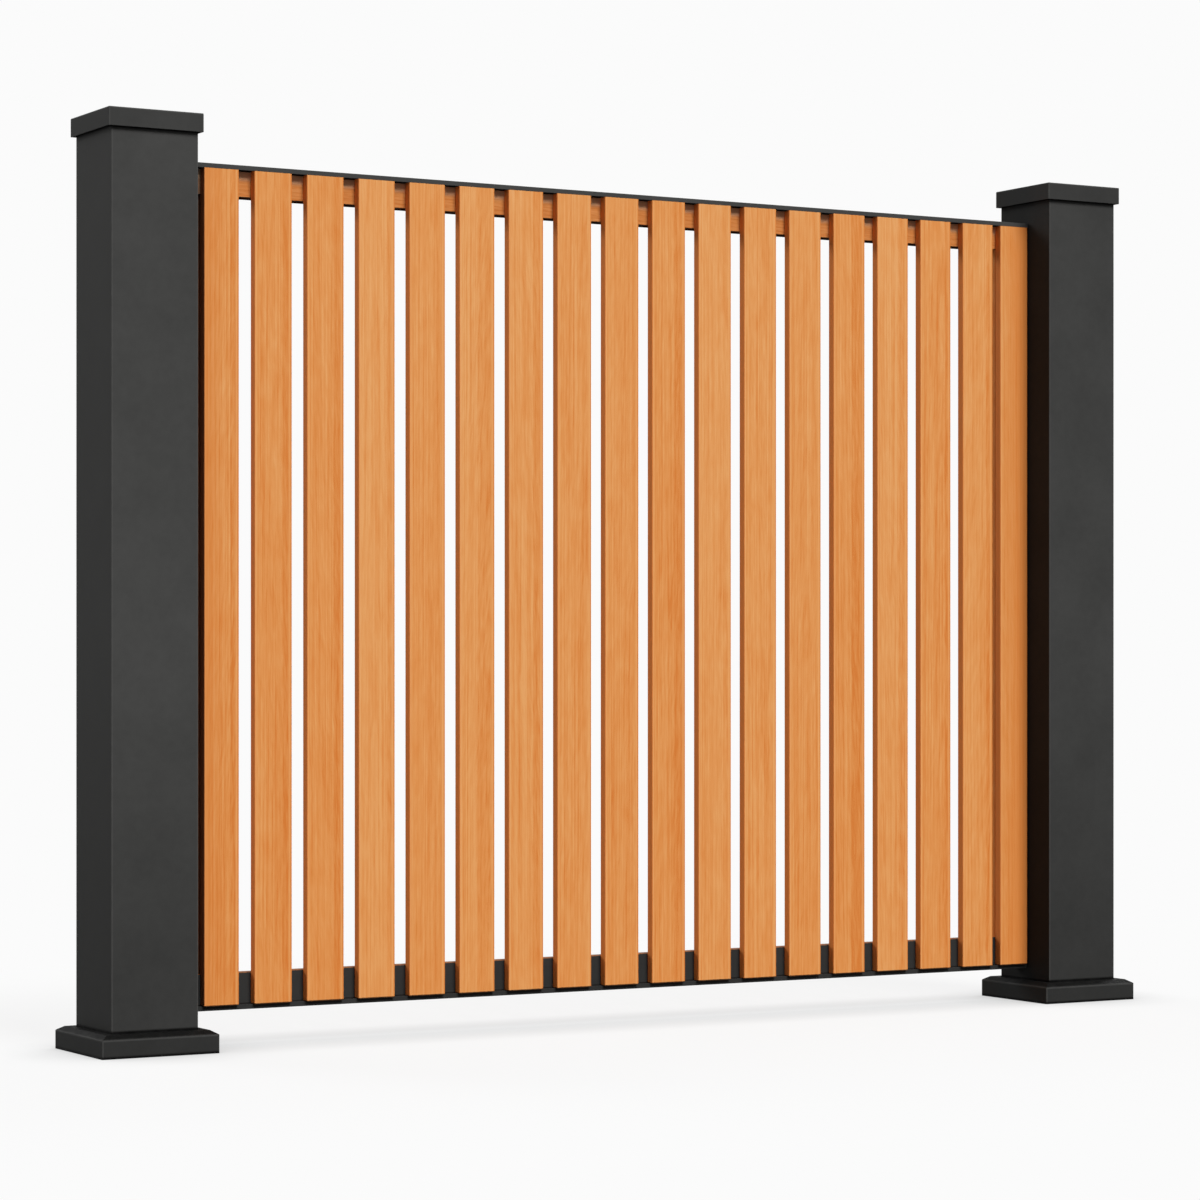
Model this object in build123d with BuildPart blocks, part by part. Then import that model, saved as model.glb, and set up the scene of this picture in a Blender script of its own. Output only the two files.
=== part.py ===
"""Aluminium slat fence panel: two posts and one bay of upright slats on a frame of rails.

X runs along the fence, Y from the slatted front to the back, Z up. The origin is on the
ground, at the middle of the left post's foot plate. All sizes are in millimetres.
"""

import os
from math import atan, degrees

from build123d import *

os.makedirs("parts", exist_ok=True)

# Posts and the clear width between them
POST = 150.0
POST_WALL = 3.0
POST_EASE = 2.0
CLEAR_WIDTH = 1703.0
TOTAL_HEIGHT = 1511.0

# Cap on each post: thin walls that hang clear of the tube, and a spigot inside it
CAP_OVERHANG = 7.0
CAP_HEIGHT = 30.0
CAP_TOP = 4.0
CAP_WALL = 2.5
CAP_SPIGOT = 20.0
CAP_EASE = 1.5
SLIP = 0.3

# Foot plate under each post, with its anchor holes
FOOT_PLATE = 194.0
FOOT_THICKNESS = 10.0
ANCHOR_SPACING = 170.0
ANCHOR_HOLE = 11.0

# Skirt that covers each foot plate
SKIRT_OVERHANG = 26.0
SKIRT_SIDE = 30.0
SKIRT_RISE = 7.0
SKIRT_SLOPE = 12.0
SKIRT_WALL = 3.0
SKIRT_EASE = 1.5

# Slats: seventeen gaps, with the slat beside each post trimmed to fit
SLAT_WIDTH = 67.5
SLAT_DEPTH = 16.5
SLAT_WALL = 1.6
SLAT_EASE = 1.5
SLAT_LENGTH = 1368.0
FULL_SLATS = 16
PITCH = 95.0
FIRST_FULL_EDGE = 128.0
END_SLAT_WIDTH = 62.0
LEFT_MARGIN = 38.0
RIGHT_MARGIN = 3.0

# Frame behind the slats: a channel rail above, a tube rail below and an upright at each end
SLAT_RECESS = 63.0
PANEL_CLEARANCE = 58.5
RAIL_DEPTH = 26.5
RAIL_WALL = 2.0
RAIL_EASE = 1.5
TOP_RAIL_HEIGHT = 43.0
BOTTOM_RAIL_HEIGHT = 51.5
UPRIGHT_WIDTH = 70.0
UPRIGHT_DEPTH = 16.0

# Coping over the slat tops, and sill under their feet
COPING_HEIGHT = 8.0
COPING_WALL = 2.0
COPING_SETBACK = 1.5
SILL_HEIGHT = 8.0
SILL_WALL = 3.0
SILL_SETBACK = 7.0
SILL_REVEAL = 0.7
LEDGE_EASE = 0.8

# Angle cleats that hold the rails to the posts
CLEAT_LEG = 30.0
CLEAT_WALL = 3.0
CLEAT_HEIGHT = 36.0

# Heights worked out from the values above
SLAT_FOOT = PANEL_CLEARANCE + SILL_HEIGHT
SLAT_TOP = SLAT_FOOT + SLAT_LENGTH
TOP_RAIL_FOOT = SLAT_TOP - TOP_RAIL_HEIGHT
BOTTOM_RAIL_TOP = SLAT_FOOT + BOTTOM_RAIL_HEIGHT
POST_TOP = TOTAL_HEIGHT - CAP_TOP

# Places across the depth of the panel
SLAT_FRONT = SLAT_RECESS - POST / 2
SLAT_BACK = SLAT_FRONT + SLAT_DEPTH
FRAME_BACK = SLAT_BACK + RAIL_DEPTH
UPRIGHT_BACK = FRAME_BACK - RAIL_WALL - SLIP
COPING_FRONT = SLAT_FRONT + COPING_SETBACK
COPING_BACK = FRAME_BACK - RAIL_EASE
SILL_FRONT = SLAT_FRONT + SILL_SETBACK

# Places along the fence
LEFT_FACE = POST / 2
RIGHT_FACE = LEFT_FACE + CLEAR_WIDTH
POST_CENTRES = {"left": 0.0, "right": CLEAR_WIDTH + POST}
INNER_FACES = {"left": (LEFT_FACE, 1), "right": (RIGHT_FACE, -1)}


def save(builder, name):
    """Label the finished piece and write it to its own file."""
    builder.part.label = name
    export_step(builder.part, f"parts/{name}.step")


def along_fence(y, z):
    """Sketch plane across the fence at the left post's inner face, with Y to the right and Z up."""
    return Plane(origin=(LEFT_FACE, y, z), x_dir=(0, 1, 0), z_dir=(1, 0, 0))


def build_post(side, x):
    """Square tube that stands on its foot plate."""
    with BuildPart() as post:
        with BuildSketch(Plane.XY.offset(FOOT_THICKNESS).move(Location((x, 0, 0)))):
            RectangleRounded(POST, POST, POST_EASE)
            Rectangle(POST - 2 * POST_WALL, POST - 2 * POST_WALL, mode=Mode.SUBTRACT)
        extrude(amount=POST_TOP - FOOT_THICKNESS)
    save(post, f"{side}_post")


def build_cap(side, x):
    """Flat cap with eased upper edges, hollow under its top, and a spigot that fits the tube."""
    width = POST + 2 * CAP_OVERHANG
    hollow = width - 2 * CAP_WALL
    spigot = POST - 2 * POST_WALL - 2 * SLIP
    with BuildPart() as cap:
        with BuildSketch(Plane((x, 0, TOTAL_HEIGHT - CAP_HEIGHT))):
            RectangleRounded(width, width, POST_EASE)
        extrude(amount=CAP_HEIGHT)
        fillet(cap.faces().sort_by(Axis.Z)[-1].edges(), radius=CAP_EASE)
        with BuildSketch(Plane((x, 0, TOTAL_HEIGHT - CAP_HEIGHT))):
            Rectangle(hollow, hollow)
        extrude(amount=CAP_HEIGHT - CAP_TOP, mode=Mode.SUBTRACT)
        with BuildSketch(Plane((x, 0, POST_TOP - CAP_SPIGOT))):
            Rectangle(spigot, spigot)
            Rectangle(spigot - 2 * CAP_WALL, spigot - 2 * CAP_WALL, mode=Mode.SUBTRACT)
        extrude(amount=CAP_SPIGOT)
    save(cap, f"{side}_cap")


def build_foot_plate(side, x):
    """Plate under the post with one anchor hole near each corner."""
    with BuildPart() as plate:
        with BuildSketch(Plane((x, 0, 0))):
            Rectangle(FOOT_PLATE, FOOT_PLATE)
        extrude(amount=FOOT_THICKNESS)
        with Locations(plate.faces().sort_by(Axis.Z)[-1]):
            with GridLocations(ANCHOR_SPACING, ANCHOR_SPACING, 2, 2):
                Hole(ANCHOR_HOLE / 2)
    save(plate, f"{side}_foot_plate")


def build_skirt(side, x):
    """Hollow cover round the foot of the post: upright sides under a sloped shoulder."""
    outer = POST + 2 * SKIRT_OVERHANG
    inner = outer - 2 * SKIRT_WALL
    opening = POST + 2 * SLIP
    slope = degrees(atan(SKIRT_SLOPE / SKIRT_RISE))
    with BuildPart() as skirt:
        with BuildSketch(Plane((x, 0, 0))):
            RectangleRounded(outer, outer, POST_EASE)
        extrude(amount=SKIRT_SIDE)
        with BuildSketch(Plane((x, 0, SKIRT_SIDE))):
            RectangleRounded(outer, outer, POST_EASE)
        extrude(amount=SKIRT_RISE, taper=slope)
        shoulder = skirt.edges().filter_by_position(Axis.Z, SKIRT_SIDE, SKIRT_SIDE)
        fillet(shoulder, radius=SKIRT_EASE)
        with BuildSketch(Plane((x, 0, 0))):
            Rectangle(inner, inner)
        extrude(amount=SKIRT_SIDE - SKIRT_WALL, mode=Mode.SUBTRACT)
        with BuildSketch(Plane((x, 0, SKIRT_SIDE - SKIRT_WALL))):
            Rectangle(inner, inner)
        extrude(amount=SKIRT_RISE, taper=slope, mode=Mode.SUBTRACT)
        with BuildSketch(Plane((x, 0, 0))):
            Rectangle(opening, opening)
        extrude(amount=SKIRT_SIDE + SKIRT_RISE, mode=Mode.SUBTRACT)
    save(skirt, f"{side}_skirt")


def build_slat(number, left_edge, width):
    """Hollow slat with eased corners and a web down its middle."""
    cell_width = (width - 3 * SLAT_WALL) / 2
    cell_depth = SLAT_DEPTH - 2 * SLAT_WALL
    middle = (LEFT_FACE + left_edge + width / 2, (SLAT_FRONT + SLAT_BACK) / 2, SLAT_FOOT)
    with BuildPart() as slat:
        with BuildSketch(Plane(middle)):
            RectangleRounded(width, SLAT_DEPTH, SLAT_EASE)
            with GridLocations(cell_width + SLAT_WALL, 0, 2, 1):
                Rectangle(cell_width, cell_depth, mode=Mode.SUBTRACT)
        extrude(amount=SLAT_LENGTH)
    save(slat, f"slat_{number:02d}")


def build_bottom_rail():
    """Tube rail from post to post behind the slat feet and the sill's leg."""
    front = SLAT_BACK + SILL_WALL
    depth = FRAME_BACK - front
    with BuildPart() as rail:
        with BuildSketch(along_fence(front + depth / 2, SLAT_FOOT + BOTTOM_RAIL_HEIGHT / 2)):
            RectangleRounded(depth, BOTTOM_RAIL_HEIGHT, RAIL_EASE)
            Rectangle(depth - 2 * RAIL_WALL, BOTTOM_RAIL_HEIGHT - 2 * RAIL_WALL, mode=Mode.SUBTRACT)
        extrude(amount=CLEAR_WIDTH)
    save(rail, "bottom_rail")


def channel(front, depth, foot, height, wall, ease):
    """Section of a channel with eased corners, open underneath, drawn from post to post."""
    with BuildPart() as section:
        with BuildSketch(along_fence(front + depth / 2, foot + height / 2)):
            RectangleRounded(depth, height, ease)
            with Locations((0, -wall)):
                Rectangle(depth - 2 * wall, height, mode=Mode.SUBTRACT)
        extrude(amount=CLEAR_WIDTH)
    return section


def build_top_rail():
    """Channel rail behind the slat tops, which takes the uprights' heads between its flanges."""
    rail = channel(SLAT_BACK, RAIL_DEPTH, TOP_RAIL_FOOT, TOP_RAIL_HEIGHT, RAIL_WALL, RAIL_EASE)
    save(rail, "top_rail")


def build_upright(side, face, inward):
    """Flat tube against the post's inner face, from the bottom rail up into the top rail's channel."""
    middle = (face + inward * UPRIGHT_WIDTH / 2, UPRIGHT_BACK - UPRIGHT_DEPTH / 2, BOTTOM_RAIL_TOP)
    with BuildPart() as upright:
        with BuildSketch(Plane(middle)):
            RectangleRounded(UPRIGHT_WIDTH, UPRIGHT_DEPTH, RAIL_EASE)
            Rectangle(UPRIGHT_WIDTH - 2 * RAIL_WALL, UPRIGHT_DEPTH - 2 * RAIL_WALL, mode=Mode.SUBTRACT)
        extrude(amount=SLAT_TOP - RAIL_WALL - BOTTOM_RAIL_TOP)
    save(upright, f"{side}_upright")


def build_coping():
    """Channel cover whose lips rest on the slat tops in front and on the top rail behind."""
    depth = COPING_BACK - COPING_FRONT
    coping = channel(COPING_FRONT, depth, SLAT_TOP, COPING_HEIGHT, COPING_WALL, LEDGE_EASE)
    save(coping, "coping")


def build_sill():
    """Sill section: a shelf under the slats, drip lips at its edges and a leg up the rail's front."""
    depth = FRAME_BACK - SILL_FRONT
    leg_front = SLAT_BACK - SILL_FRONT
    leg_back = leg_front + SILL_WALL
    leg_top = SILL_HEIGHT + BOTTOM_RAIL_HEIGHT - SILL_REVEAL
    shelf_foot = SILL_HEIGHT - SILL_WALL
    with BuildPart() as sill:
        with BuildSketch(along_fence(SILL_FRONT, PANEL_CLEARANCE)):
            with BuildLine():
                Polyline(
                    (0, 0),
                    (SILL_WALL, 0),
                    (SILL_WALL, shelf_foot),
                    (depth - SILL_WALL, shelf_foot),
                    (depth - SILL_WALL, 0),
                    (depth, 0),
                    (depth, SILL_HEIGHT),
                    (leg_back, SILL_HEIGHT),
                    (leg_back, leg_top),
                    (leg_front, leg_top),
                    (leg_front, SILL_HEIGHT),
                    (0, SILL_HEIGHT),
                    close=True,
                )
            make_face()
        extrude(amount=CLEAR_WIDTH)
        fillet(sill.edges().filter_by(Axis.X).group_by(Axis.Y)[0], radius=LEDGE_EASE)
    save(sill, "sill")


def build_cleat(side, height_name, face, inward, rail_middle):
    """Angle in the corner between a rail's back and the post's inner face."""
    leg = inward * CLEAT_LEG
    wall = inward * CLEAT_WALL
    with BuildPart() as cleat:
        with BuildSketch(Plane((face, FRAME_BACK, rail_middle - CLEAT_HEIGHT / 2))):
            with BuildLine():
                Polyline(
                    (0, 0),
                    (leg, 0),
                    (leg, CLEAT_WALL),
                    (wall, CLEAT_WALL),
                    (wall, CLEAT_LEG),
                    (0, CLEAT_LEG),
                    close=True,
                )
            make_face()
        extrude(amount=CLEAT_HEIGHT)
    save(cleat, f"{side}_{height_name}_cleat")


for post_side, post_x in POST_CENTRES.items():
    build_foot_plate(post_side, post_x)
    build_post(post_side, post_x)
    build_skirt(post_side, post_x)
    build_cap(post_side, post_x)

build_top_rail()
build_bottom_rail()
build_coping()
build_sill()

CLEAT_LEVELS = {
    "top": TOP_RAIL_FOOT + TOP_RAIL_HEIGHT / 2,
    "bottom": SLAT_FOOT + BOTTOM_RAIL_HEIGHT / 2,
}
for panel_side, (inner_face, inward_sign) in INNER_FACES.items():
    build_upright(panel_side, inner_face, inward_sign)
    for level_name, level in CLEAT_LEVELS.items():
        build_cleat(panel_side, level_name, inner_face, inward_sign, level)

build_slat(1, LEFT_MARGIN, END_SLAT_WIDTH)
for index in range(FULL_SLATS):
    build_slat(index + 2, FIRST_FULL_EDGE + index * PITCH, SLAT_WIDTH)
build_slat(FULL_SLATS + 2, CLEAR_WIDTH - RIGHT_MARGIN - END_SLAT_WIDTH, END_SLAT_WIDTH)
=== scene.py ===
"""Looks of the aluminium slat fence panel: its finishes, slats, fixing screws and studio.

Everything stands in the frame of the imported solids: X along the fence, Y from the slatted
front to the back, Z up, in metres. Finishes work in millimetres on object coordinates.
"""

import logging
import math
from dataclasses import dataclass, replace
from enum import Enum
from typing import Any

import bmesh
import bpy
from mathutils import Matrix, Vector


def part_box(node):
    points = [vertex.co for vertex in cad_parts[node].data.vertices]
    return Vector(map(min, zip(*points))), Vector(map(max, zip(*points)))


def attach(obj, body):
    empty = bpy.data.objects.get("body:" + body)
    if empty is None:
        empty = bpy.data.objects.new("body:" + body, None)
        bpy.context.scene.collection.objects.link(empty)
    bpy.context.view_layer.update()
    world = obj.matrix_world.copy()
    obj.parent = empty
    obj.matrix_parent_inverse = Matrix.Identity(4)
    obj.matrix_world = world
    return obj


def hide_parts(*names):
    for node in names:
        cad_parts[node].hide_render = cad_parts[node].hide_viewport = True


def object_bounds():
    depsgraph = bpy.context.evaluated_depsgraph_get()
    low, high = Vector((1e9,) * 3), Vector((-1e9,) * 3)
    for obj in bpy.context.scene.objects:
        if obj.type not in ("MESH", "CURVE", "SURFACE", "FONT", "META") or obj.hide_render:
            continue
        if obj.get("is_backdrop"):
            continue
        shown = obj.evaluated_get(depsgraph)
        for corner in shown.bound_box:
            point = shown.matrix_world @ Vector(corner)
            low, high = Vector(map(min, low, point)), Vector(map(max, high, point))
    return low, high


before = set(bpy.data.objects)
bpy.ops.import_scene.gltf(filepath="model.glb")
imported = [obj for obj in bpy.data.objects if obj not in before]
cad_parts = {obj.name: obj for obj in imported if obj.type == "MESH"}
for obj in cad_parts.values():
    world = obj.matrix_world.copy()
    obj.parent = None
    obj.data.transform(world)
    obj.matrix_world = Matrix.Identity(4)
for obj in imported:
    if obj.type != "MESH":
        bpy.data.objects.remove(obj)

LOG = logging.getLogger("slat_fence_panel")
BODY = "root"
MM = 0.001
SIDES = ("left", "right")
LEVELS = ("top", "bottom")
SLATS = sorted(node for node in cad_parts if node.startswith("slat_"))
BACKWARDS = Vector((0.0, 1.0, 0.0))

# Mean of noise and of random draws, which run from 0 to 1
MEAN = 0.5

Colour = tuple[float, float, float, float]
NEAR_BLACK: Colour = (0.012, 0.010, 0.009, 1.0)

# Sockets of a Mix node that mixes colours
MIX_FACTOR, MIX_A, MIX_B, MIX_RESULT = 0, 6, 7, 2

# Sockets of a Random Value node that draws plain numbers
DRAW_LEAST, DRAW_MOST, DRAW_RESULT = 2, 3, 1

# Kind of a geometry tree's input for each type of value
SOCKET_KINDS = {
    float: "NodeSocketFloat",
    int: "NodeSocketInt",
    tuple: "NodeSocketVector",
    bpy.types.Material: "NodeSocketMaterial",
}


def grey(level: float) -> Colour:
    """Neutral colour of one level."""
    return (level, level, level, 1.0)


class Signal:
    """A number in a node tree: arithmetic on it adds Math nodes to that tree."""

    def __init__(self, sheet: "NodeSheet", socket: bpy.types.NodeSocket) -> None:
        """Wrap one output socket of a node on the sheet."""
        self.sheet = sheet
        self.socket = socket

    def __add__(self, other: "Signal | float") -> "Signal":
        """This value plus another."""
        return self.sheet.math("ADD", self, other)

    __radd__ = __add__

    def __sub__(self, other: "Signal | float") -> "Signal":
        """This value less another."""
        return self.sheet.math("SUBTRACT", self, other)

    def __rsub__(self, other: float) -> "Signal":
        """A plain number less this value."""
        return self.sheet.math("SUBTRACT", other, self)

    def __mul__(self, other: "Signal | float") -> "Signal":
        """This value times another."""
        return self.sheet.math("MULTIPLY", self, other)

    __rmul__ = __mul__

    def __truediv__(self, other: "Signal | float") -> "Signal":
        """This value divided by another."""
        return self.sheet.math("DIVIDE", self, other)

    def __rtruediv__(self, other: float) -> "Signal":
        """A plain number divided by this value."""
        return self.sheet.math("DIVIDE", other, self)

    def __abs__(self) -> "Signal":
        """Size of this value, without its sign."""
        return self.sheet.math("ABSOLUTE", self)

    def above(self, low: float, high: float) -> "Signal":
        """Smooth step: 0 where this value is under low, 1 where it is over high.

        Args:
            low: value where the step starts.
            high: value where the step ends.

        Returns:
            The step, between 0 and 1.
        """
        step = self.sheet.node(
            "ShaderNodeMapRange",
            {"interpolation_type": "SMOOTHSTEP"},
            {"Value": self, "From Min": low, "From Max": high},
        )
        return Signal(self.sheet, step.outputs["Result"])

    def below(self, low: float, high: float) -> "Signal":
        """Smooth step the other way: 1 under low, 0 over high."""
        return 1 - self.above(low, high)


class NodeSheet:
    """Adds nodes to one shader or geometry tree."""

    def __init__(self, tree: bpy.types.NodeTree) -> None:
        """Start on the tree with nothing in it."""
        self.tree = tree
        tree.nodes.clear()

    def node(
        self,
        kind: str,
        settings: dict[str, Any] | None = None,
        sockets: dict[str | int, Any] | None = None,
    ) -> bpy.types.Node:
        """Add one node.

        Args:
            kind: the node's type.
            settings: its properties, set before its sockets; "stops" are a ramp's.
            sockets: a value or a link for each named or numbered input.

        Returns:
            The new node.
        """
        made = self.tree.nodes.new(kind)
        for name, setting in (settings or {}).items():
            if name == "stops":
                self.set_stops(made.color_ramp, setting)
            else:
                setattr(made, name, setting)
        for name, value in (sockets or {}).items():
            self.feed(made.inputs[name], value)
        return made

    def set_stops(self, ramp: bpy.types.ColorRamp, stops: list[tuple[float, Colour]]) -> None:
        """Give a ramp these stops in place of its own.

        Args:
            ramp: the ramp, which has two stops when it is new.
            stops: place and colour of each stop, from low to high.
        """
        for _ in stops[len(ramp.elements):]:
            ramp.elements.new(1.0)
        for element, (place, colour) in zip(ramp.elements, stops):
            element.position = place
            element.color = colour

    def feed(self, socket: bpy.types.NodeSocket, value: Any) -> None:
        """Link or set one input.

        Args:
            socket: the input.
            value: a signal, a socket, a list of either, or a plain value.
        """
        if isinstance(value, list):
            for part in value:
                self.feed(socket, part)
        elif isinstance(value, Signal):
            self.tree.links.new(value.socket, socket)
        elif isinstance(value, bpy.types.NodeSocket):
            self.tree.links.new(value, socket)
        else:
            socket.default_value = value

    def math(self, operation: str, *values: Signal | float) -> Signal:
        """Result of one Math node on these values."""
        made = self.node("ShaderNodeMath", {"operation": operation}, dict(enumerate(values)))
        return Signal(self, made.outputs[0])

    def vector(self, x: Signal | float, y: Signal | float, z: Signal | float) -> bpy.types.NodeSocket:
        """Vector with these three parts."""
        return self.node("ShaderNodeCombineXYZ", None, {"X": x, "Y": y, "Z": z}).outputs[0]


@dataclass(frozen=True)
class PaintedBand:
    """Level band of painted shade or light: its heights, the share of the finish it hides, its soft edge.

    It lies only in front of the distance back. All lengths are in millimetres.
    """

    low: float
    high: float
    share: float
    colour: Colour
    fade: float = 0.6
    back: float = 1000.0

    def from_height(self, height: float) -> "PaintedBand":
        """The same band, with its heights measured from this one."""
        return replace(self, low=height + self.low, high=height + self.high)


@dataclass(frozen=True)
class Patchy:
    """Uneven cover: its share where a pattern is 0, and how far the pattern swings it."""

    share: float
    swing: float

    def over(self, mask: Signal, pattern: Signal) -> Signal:
        """Cover of the masked area under this pattern."""
        return mask * (self.share + self.swing * pattern)


@dataclass(frozen=True)
class Relief:
    """Fine relief: its depth in millimetres, and the share of it that shows."""

    depth: float
    strength: float


@dataclass(frozen=True)
class Streaks:
    """One layer of a printed grain: the width and length of its streaks, and its weight.

    apart is how far the boards lie from each other in the noise that makes the streaks. All
    lengths are in millimetres.
    """

    width: float
    length: float
    weight: float
    octaves: float = 2.0
    apart: float = 5000.0


class Draw(Enum):
    """What is drawn at random for each board."""

    HEART = 1.0
    SLOPE = 2.0
    DEPTH = 3.0
    SLANT = 4.0
    BORDER = 5.0
    SPLIT = 6.0


@dataclass(frozen=True)
class Board:
    """Place on a printed board: across its grain and along it, in millimetres, and its seed."""

    across: Signal | float
    along: Signal
    seed: Signal | float


class Blend(Enum):
    """How a second colour is laid over a first one."""

    COVER = "MIX"
    TINT = "MULTIPLY"


class FinishSheet(NodeSheet):
    """Shader tree of one finish, with object coordinates at hand in millimetres."""

    def __init__(self, name: str) -> None:
        """Make the material and read the place on the piece.

        Args:
            name: the material's name.
        """
        self.material = bpy.data.materials.new(name)
        self.material.use_nodes = True
        super().__init__(self.material.node_tree)
        metres = self.node("ShaderNodeTexCoord").outputs["Object"]
        scaled = self.node("ShaderNodeVectorMath", {"operation": "SCALE"}, {0: metres, "Scale": 1 / MM})
        self.place = scaled.outputs[0]
        axes = self.node("ShaderNodeSeparateXYZ", None, {0: self.place})
        self.x, self.y, self.z = (Signal(self, part) for part in axes.outputs)

    def attribute(self, name: str) -> Signal:
        """Value of a named attribute of the piece's own mesh."""
        read = self.node("ShaderNodeAttribute", {"attribute_name": name})
        return Signal(self, read.outputs["Fac"])

    def noise(self, place: bpy.types.NodeSocket, size: float, octaves: float = 2.0) -> Signal:
        """Cloudy value between 0 and 1.

        Args:
            place: where the pattern is read.
            size: width of one cloud, in the units of place.
            octaves: finer layers that are added.

        Returns:
            The value of the noise.
        """
        sockets = {"Vector": place, "Scale": 1 / size, "Detail": octaves}
        return Signal(self, self.node("ShaderNodeTexNoise", None, sockets).outputs["Fac"])

    def streaks(self, board: Board, layer: Streaks) -> Signal:
        """Value of one layer of the grain, about 0 in the mean.

        Args:
            board: the place on the board.
            layer: the sizes of the streaks.

        Returns:
            A value between -0.5 and 0.5, without the layer's weight.
        """
        place = self.vector(
            board.across / layer.width, board.along / layer.length, board.seed * layer.apart
        )
        return self.noise(place, 1.0, layer.octaves) - MEAN

    def chance(self, seed: Signal | float, draw: Draw) -> Signal:
        """Random value between 0 and 1.

        Args:
            seed: tells the boards apart.
            draw: tells one choice for a board from another.

        Returns:
            The value that is drawn.
        """
        made = self.node("ShaderNodeTexWhiteNoise", {"noise_dimensions": "2D"})
        self.feed(made.inputs["Vector"], self.vector(seed, draw.value, 0.0))
        return Signal(self, made.outputs["Value"])

    def blend(
        self,
        factor: Signal | float,
        first: Colour | bpy.types.NodeSocket,
        second: Colour | bpy.types.NodeSocket,
        way: Blend = Blend.COVER,
    ) -> bpy.types.NodeSocket:
        """Mix two colours.

        Args:
            factor: share of the second colour.
            first: the colour at factor 0.
            second: the colour at factor 1, or what tints the first there.
            way: how the second is laid over the first.

        Returns:
            The mixed colour.
        """
        settings = {"data_type": "RGBA", "blend_type": way.value}
        sockets = {MIX_FACTOR: factor, MIX_A: first, MIX_B: second}
        return self.node("ShaderNodeMix", settings, sockets).outputs[MIX_RESULT]

    def paint_bands(self, colour: bpy.types.NodeSocket, bands: tuple[PaintedBand, ...]) -> bpy.types.NodeSocket:
        """Lay bands of painted shade and painted light over a colour.

        Args:
            colour: the colour without them.
            bands: where the painted shade and light lie.

        Returns:
            The colour with its painted shade and light.
        """
        # Painted shade, and painted light where a band is pale: each band covers the finish by height.
        for band in bands:
            over_foot = self.z.above(band.low - band.fade, band.low)
            under_top = self.z.below(band.high, band.high + band.fade)
            before_back = self.y.below(band.back, band.back + band.fade)
            colour = self.blend(band.share * over_foot * under_top * before_back, colour, band.colour)
        return colour

    def bump(self, height: Signal, relief: Relief) -> bpy.types.NodeSocket:
        """Normal of a surface whose height, between 0 and 1, has this relief."""
        sockets = {"Height": height, "Distance": relief.depth * MM, "Strength": relief.strength}
        return self.node("ShaderNodeBump", None, sockets).outputs["Normal"]

    def coat(self, sockets: dict[str, Any]) -> bpy.types.Material:
        """Close the tree with a Principled surface.

        Args:
            sockets: values and links of the surface's inputs.

        Returns:
            The finished material.
        """
        surface = self.node("ShaderNodeBsdfPrincipled", None, sockets)
        self.node("ShaderNodeOutputMaterial", None, {"Surface": surface.outputs[0]})
        return self.material


class GrainRun(Enum):
    """Which way the printed grain runs, and what it is measured from."""

    SLAT = "up each slat, from the slat's own edges"
    RAIL = "along the fence"
    UPRIGHT = "up the frame"


@dataclass(frozen=True)
class GrowthRings:
    """Rings of a plain-sawn board: arches in its middle, lines at its sides.

    The heart lies up to half of heart_spread from the board's middle. At mid_length it is
    least_depth or up to depth_spread more under the face, and it comes up or sinks along the
    board by up to half of slope_spread. Late wood starts and is full at these heights of the
    ring's wave, which goes from -1 to 1. All lengths are in millimetres.
    """

    spacing: float = 6.5
    heart_spread: float = 46.0
    least_depth: float = 9.0
    depth_spread: float = 16.0
    slope_spread: float = 0.05
    mid_length: float = 700.0
    sway: Streaks = Streaks(1.0, 240.0, 9.0, apart=900.0)
    drift: Streaks = Streaks(14.0, 130.0, 5.0, apart=400.0)
    late_start: float = 0.45
    late_full: float = 0.95

    def late_wood(self, sheet: FinishSheet, board: Board) -> Signal:
        """Dark line at the end of each ring.

        Args:
            sheet: the finish's tree.
            board: the place on the board.

        Returns:
            1 on the lines and 0 between them.
        """
        heart = self.heart_spread * (sheet.chance(board.seed, Draw.HEART) - MEAN)
        slope = self.slope_spread * (sheet.chance(board.seed, Draw.SLOPE) - MEAN)
        depth = self.least_depth + self.depth_spread * sheet.chance(board.seed, Draw.DEPTH)
        depth = depth + slope * (board.along - self.mid_length)
        sway = self.sway.weight * sheet.streaks(replace(board, across=0.0), self.sway)
        reach = board.across + sway - heart
        radius = sheet.math("SQRT", reach * reach + depth * depth)
        drift = self.drift.weight * (sheet.streaks(board, self.drift) + MEAN)
        wave = sheet.math("SINE", radius * (math.tau / self.spacing) + drift)
        return wave.above(self.late_start, self.late_full)


@dataclass(frozen=True)
class GrainSignals:
    """Layers of a printed grain, and the tone that they add up to."""

    tone: Signal
    lines: Signal
    dashes: Signal
    clouds: Signal
    pores: Signal


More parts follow.
